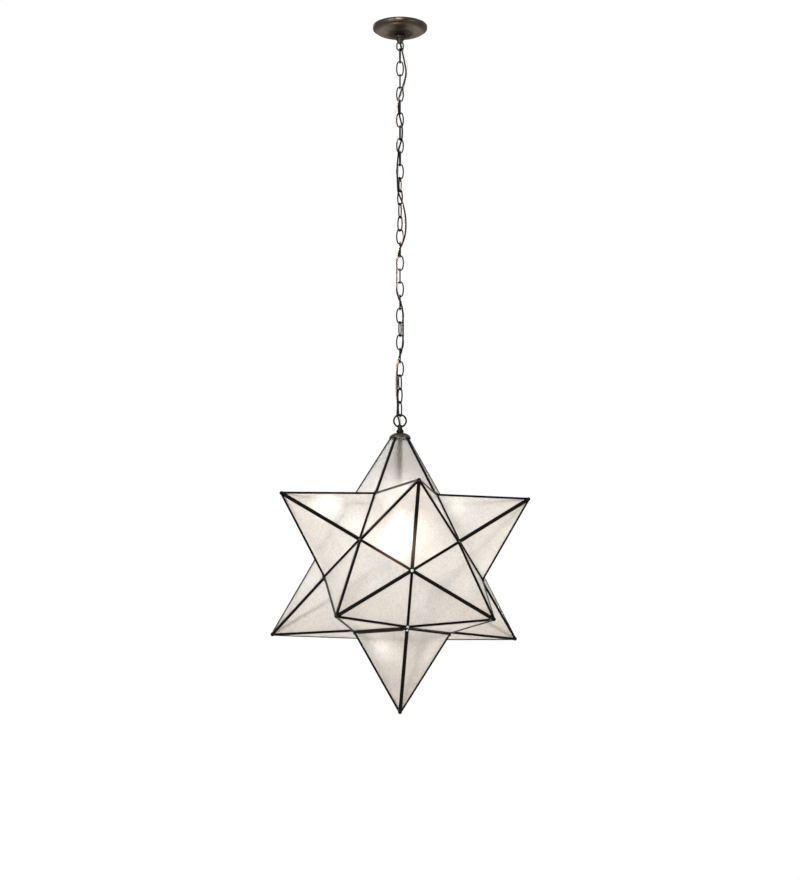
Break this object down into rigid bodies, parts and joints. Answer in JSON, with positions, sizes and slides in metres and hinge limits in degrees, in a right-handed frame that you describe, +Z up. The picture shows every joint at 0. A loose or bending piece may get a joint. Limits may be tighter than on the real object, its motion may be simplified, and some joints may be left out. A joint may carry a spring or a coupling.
{
  "type": "star pendant lantern",
  "caption": "Twelve-pointed glass star lantern that hangs on a chain from a round ceiling canopy, with a hinged bottom point for changing the bulb",
  "frame": {"origin": "centre of the mounting strap's screw pattern, in the ceiling plane", "axes": "+Z up, the star hangs along -Z; +X along the strap and its two screw slots; the viewer stands on the -Y side"},
  "size_m": [0.6032, 0.6062, 1.6682],
  "materials": {
    "dark_bronze": "oil-rubbed bronze plating, satin, brown-black with worn warm edges",
    "chain_bronze": "dark bronze plated steel wire, satin",
    "zinc_steel": "zinc plated steel",
    "black_solder": "solder with a black patina, rounded and slightly uneven",
    "blackened_brass": "brass with a black patina",
    "seeded_glass": "clear glass with fine seeds and a frosted inner face",
    "cord_black": "black round vinyl cord",
    "bare_copper": "bare stranded copper, pale in bright light",
    "holder_porcelain": "white glazed porcelain",
    "shell_brass": "thin brass",
    "opal_bulb": "opal white bulb, lit"
  },
  "bodies": {
    "ceiling_mount": {"mounting_strap": "zinc_steel", "earth_screw": "zinc_steel", "canopy_nipple": "zinc_steel", "nipple_locknut": "zinc_steel", "canopy_loop": "dark_bronze", "supply_cord": "cord_black", "earth_wire": "bare_copper"},
    "canopy": {"canopy_dish": "dark_bronze"},
    "collar": {"collar_ring": "dark_bronze"},
    "link_01": {"chain_link_01": "chain_bronze"},
    "link_02": {"chain_link_02": "chain_bronze"},
    "link_03": {"chain_link_03": "chain_bronze"},
    "link_04": {"chain_link_04": "chain_bronze"},
    "link_05": {"chain_link_05": "chain_bronze"},
    "link_06": {"chain_link_06": "chain_bronze"},
    "link_07": {"chain_link_07": "chain_bronze"},
    "link_08": {"chain_link_08": "chain_bronze"},
    "link_09": {"chain_link_09": "chain_bronze"},
    "link_10": {"chain_link_10": "chain_bronze"},
    "link_11": {"chain_link_11": "chain_bronze"},
    "link_12": {"chain_link_12": "chain_bronze"},
    "link_13": {"chain_link_13": "chain_bronze"},
    "link_14": {"chain_link_14": "chain_bronze"},
    "link_15": {"chain_link_15": "chain_bronze"},
    "link_16": {"chain_link_16": "chain_bronze"},
    "link_17": {"chain_link_17": "chain_bronze"},
    "link_18": {"chain_link_18": "chain_bronze"},
    "link_19": {"chain_link_19": "chain_bronze"},
    "link_20": {"chain_link_20": "chain_bronze"},
    "link_21": {"chain_link_21": "chain_bronze"},
    "link_22": {"chain_link_22": "chain_bronze"},
    "link_23": {"chain_link_23": "chain_bronze"},
    "link_24": {"chain_link_24": "chain_bronze"},
    "link_25": {"chain_link_25": "chain_bronze"},
    "link_26": {"chain_link_26": "chain_bronze"},
    "link_27": {"chain_link_27": "chain_bronze"},
    "link_28": {"chain_link_28": "chain_bronze"},
    "ring": {"hanging_ring": "chain_bronze"},
    "star": {"cap_neck": "chain_bronze", "neck_bead": "chain_bronze", "top_cap": "dark_bronze", "lamp_stem": "dark_bronze", "stem_locknuts": "dark_bronze", "lamp_holder": "holder_porcelain", "holder_screw_shell": "shell_brass", "bulb_base": "shell_brass", "bulb_globe": "opal_bulb", "top_point_glass": "seeded_glass", "side_point_glass": "seeded_glass", "ridge_cames": "black_solder", "valley_cames": "black_solder", "solder_joints": "black_solder", "hinge_leaf_fixed": "blackened_brass", "catch_clip": "blackened_brass"},
    "door": {"door_glass": "seeded_glass", "door_cames": "black_solder", "door_solder": "black_solder", "hinge_leaf_moving": "blackened_brass", "hinge_pin": "blackened_brass", "catch_tab": "blackened_brass"}
  },
  "joints": [
    {"name": "canopy_drop", "type": "slide", "parent": "ceiling_mount", "child": "canopy", "axis": [0, 0, -1], "range_m": [0, 0.02]},
    {"name": "collar_turn", "type": "hinge", "parent": "canopy", "child": "collar", "pos_m": [0, 0, -0.0306], "axis": [0, 0, 1], "continuous": true},
    {"name": "door_open", "type": "hinge", "parent": "star", "child": "door", "pos_m": [-0.04635, -0.08739, -1.47963], "axis": [-0.8834, 0.4685, 0], "range_deg": [0, 100]},
    {"name": "star_swing", "type": "hinge", "parent": "ring", "child": "star", "pos_m": [0, 0, -0.9879], "axis": [1, 0, 0], "range_deg": [-30, 30]},
    {"name": "ring_swing", "type": "hinge", "parent": "link_28", "child": "ring", "pos_m": [0, 0, -0.9629], "axis": [0.4695, 0.8829, 0], "range_deg": [-15, 15]},
    {"name": "link_01_swing", "type": "hinge", "parent": "ceiling_mount", "child": "link_01", "pos_m": [0, 0, -0.06295], "axis": [1, 0, 0], "range_deg": [-4, 4], "deforming": ["supply_cord", "earth_wire"]},
    {"name": "link_02_swing", "type": "hinge", "parent": "link_01", "child": "link_02", "pos_m": [0, 0, -0.09485], "axis": [0.1045, 0.9945, 0], "range_deg": [-4, 4]},
    {"name": "link_03_swing", "type": "hinge", "parent": "link_02", "child": "link_03", "pos_m": [0, 0, -0.127], "axis": [0.9976, 0.0698, 0], "range_deg": [-4, 4]},
    {"name": "link_04_swing", "type": "hinge", "parent": "link_03", "child": "link_04", "pos_m": [0, 0, -0.15915], "axis": [-0.0349, 0.9994, 0], "range_deg": [-4, 4]},
    {"name": "link_05_swing", "type": "hinge", "parent": "link_04", "child": "link_05", "pos_m": [0, 0, -0.1913], "axis": [0.9986, -0.0523, 0], "range_deg": [-4, 4]},
    {"name": "link_06_swing", "type": "hinge", "parent": "link_05", "child": "link_06", "pos_m": [0, 0, -0.22345], "axis": [0.0698, 0.9976, 0], "range_deg": [-4, 4]},
    {"name": "link_07_swing", "type": "hinge", "parent": "link_06", "child": "link_07", "pos_m": [0, 0, -0.2556], "axis": [0.9994, 0.0349, 0], "range_deg": [-4, 4]},
    {"name": "link_08_swing", "type": "hinge", "parent": "link_07", "child": "link_08", "pos_m": [0, 0, -0.28775], "axis": [-0.0872, 0.9962, 0], "range_deg": [-4, 4]},
    {"name": "link_09_swing", "type": "hinge", "parent": "link_08", "child": "link_09", "pos_m": [0, 0, -0.3199], "axis": [0.9781, 0.2079, 0], "range_deg": [-4, 4]},
    {"name": "link_10_swing", "type": "hinge", "parent": "link_09", "child": "link_10", "pos_m": [0, 0, -0.35205], "axis": [-0.1392, 0.9903, 0], "range_deg": [-4, 4]},
    {"name": "link_11_swing", "type": "hinge", "parent": "link_10", "child": "link_11", "pos_m": [0, 0, -0.3842], "axis": [0.9945, 0.1045, 0], "range_deg": [-4, 4]},
    {"name": "link_12_swing", "type": "hinge", "parent": "link_11", "child": "link_12", "pos_m": [0, 0, -0.41635], "axis": [0.309, 0.9511, 0], "range_deg": [-4, 4]},
    {"name": "link_13_swing", "type": "hinge", "parent": "link_12", "child": "link_13", "pos_m": [0, 0, -0.4485], "axis": [-0.682, 0.7314, 0], "range_deg": [-4, 4]},
    {"name": "link_14_swing", "type": "hinge", "parent": "link_13", "child": "link_14", "pos_m": [0, 0, -0.48065], "axis": [0.3746, 0.9272, 0], "range_deg": [-4, 4]},
    {"name": "link_15_swing", "type": "hinge", "parent": "link_14", "child": "link_15", "pos_m": [0, 0, -0.5128], "axis": [-0.6293, 0.7771, 0], "range_deg": [-4, 4]},
    {"name": "link_16_swing", "type": "hinge", "parent": "link_15", "child": "link_16", "pos_m": [0, 0, -0.54495], "axis": [-0.9848, -0.1736, 0], "range_deg": [-4, 4]},
    {"name": "link_17_swing", "type": "hinge", "parent": "link_16", "child": "link_17", "pos_m": [0, 0, -0.5771], "axis": [-0.1045, 0.9945, 0], "range_deg": [-4, 4]},
    {"name": "link_18_swing", "type": "hinge", "parent": "link_17", "child": "link_18", "pos_m": [0, 0, -0.60925], "axis": [0.9976, 0.0698, 0], "range_deg": [-4, 4]},
    {"name": "link_19_swing", "type": "hinge", "parent": "link_18", "child": "link_19", "pos_m": [0, 0, -0.6414], "axis": [0, 1, 0], "range_deg": [-4, 4]},
    {"name": "link_20_swing", "type": "hinge", "parent": "link_19", "child": "link_20", "pos_m": [0, 0, -0.67355], "axis": [0.9986, -0.0523, 0], "range_deg": [-4, 4]},
    {"name": "link_21_swing", "type": "hinge", "parent": "link_20", "child": "link_21", "pos_m": [0, 0, -0.7057], "axis": [-0.0349, 0.9994, 0], "range_deg": [-4, 4]},
    {"name": "link_22_swing", "type": "hinge", "parent": "link_21", "child": "link_22", "pos_m": [0, 0, -0.73785], "axis": [0.9986, 0.0523, 0], "range_deg": [-4, 4]},
    {"name": "link_23_swing", "type": "hinge", "parent": "link_22", "child": "link_23", "pos_m": [0, 0, -0.77], "axis": [0.3256, 0.9455, 0], "range_deg": [-4, 4]},
    {"name": "link_24_swing", "type": "hinge", "parent": "link_23", "child": "link_24", "pos_m": [0, 0, -0.80215], "axis": [-0.9903, 0.1392, 0], "range_deg": [-4, 4]},
    {"name": "link_25_swing", "type": "hinge", "parent": "link_24", "child": "link_25", "pos_m": [0, 0, -0.8343], "axis": [-0.0698, 0.9976, 0], "range_deg": [-4, 4]},
    {"name": "link_26_swing", "type": "hinge", "parent": "link_25", "child": "link_26", "pos_m": [0, 0, -0.86645], "axis": [0.9994, 0.0349, 0], "range_deg": [-4, 4]},
    {"name": "link_27_swing", "type": "hinge", "parent": "link_26", "child": "link_27", "pos_m": [0, 0, -0.8986], "axis": [0.4226, 0.9063, 0], "range_deg": [-4, 4]},
    {"name": "link_28_swing", "type": "hinge", "parent": "link_27", "child": "link_28", "pos_m": [0, 0, -0.93075], "axis": [-0.6018, 0.7986, 0], "range_deg": [-4, 4]}
  ]
}
